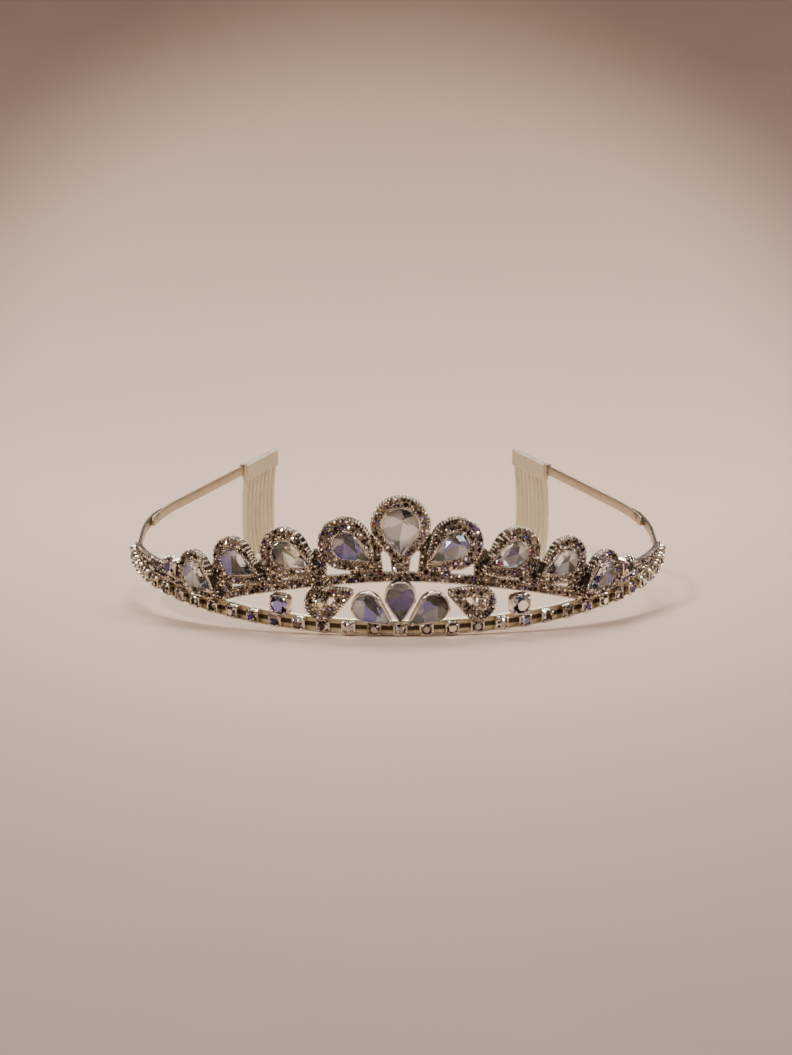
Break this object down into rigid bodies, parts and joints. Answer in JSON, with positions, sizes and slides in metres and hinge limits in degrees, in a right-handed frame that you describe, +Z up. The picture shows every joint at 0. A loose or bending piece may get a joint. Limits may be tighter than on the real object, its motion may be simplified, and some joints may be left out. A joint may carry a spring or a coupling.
{
  "type": "bridal tiara",
  "caption": "U-shaped headband with a stone-set front of pear drops over an arch, two plain metal arms and a clear comb on each arm.",
  "frame": {"origin": "on the ground under the middle of the whole piece, standing on its front rail and comb tips", "axes": "+X to the wearer's left as seen from the front (right in a front view), +Y from the front towards the combs, +Z up"},
  "size_m": [0.1442, 0.1742, 0.036],
  "materials": {
    "rail_metal": "bright rhodium-tone plating",
    "pave_bed": "plated casting set with small pavé stones",
    "claw_metal": "bright plated claw cups",
    "arm_metal": "satin plated strip",
    "dark_metal": "dull plated crimp and rivet",
    "crystal": "foiled faceted glass",
    "small_crystal": "foiled faceted glass chaton",
    "comb_plastic": "translucent ivory-tinted plastic"
  },
  "bodies": {
    "root": {"front_rail": "rail_metal", "rail_cups": "claw_metal", "rail_stones": "small_crystal", "arch_rail": "pave_bed", "arch_stem": "pave_bed", "halo_center": "pave_bed", "halo_left_1": "pave_bed", "halo_left_2": "pave_bed", "halo_left_3": "pave_bed", "halo_left_4": "pave_bed", "halo_right_1": "pave_bed", "halo_right_2": "pave_bed", "halo_right_3": "pave_bed", "halo_right_4": "pave_bed", "setting_center": "claw_metal", "setting_left_1": "claw_metal", "setting_left_2": "claw_metal", "setting_left_3": "claw_metal", "setting_left_4": "claw_metal", "setting_right_1": "claw_metal", "setting_right_2": "claw_metal", "setting_right_3": "claw_metal", "setting_right_4": "claw_metal", "stone_center": "crystal", "stone_left_1": "crystal", "stone_left_2": "crystal", "stone_left_3": "crystal", "stone_left_4": "crystal", "stone_right_1": "crystal", "stone_right_2": "crystal", "stone_right_3": "crystal", "stone_right_4": "crystal", "lower_setting_center": "claw_metal", "lower_setting_left": "claw_metal", "lower_setting_right": "claw_metal", "lower_stone_center": "crystal", "lower_stone_left": "crystal", "lower_stone_right": "crystal", "loop_left": "pave_bed", "loop_right": "pave_bed", "loop_cups": "claw_metal", "loop_stones": "small_crystal", "spacer_cups": "claw_metal", "spacer_stones": "crystal", "outer_cups": "claw_metal", "outer_stones": "crystal", "leaf_left": "pave_bed", "leaf_right": "pave_bed", "arm_left": "arm_metal", "arm_right": "arm_metal", "arm_rivets": "dark_metal", "comb_left": "comb_plastic", "comb_right": "comb_plastic", "comb_crimps": "dark_metal"}
  },
  "joints": []
}
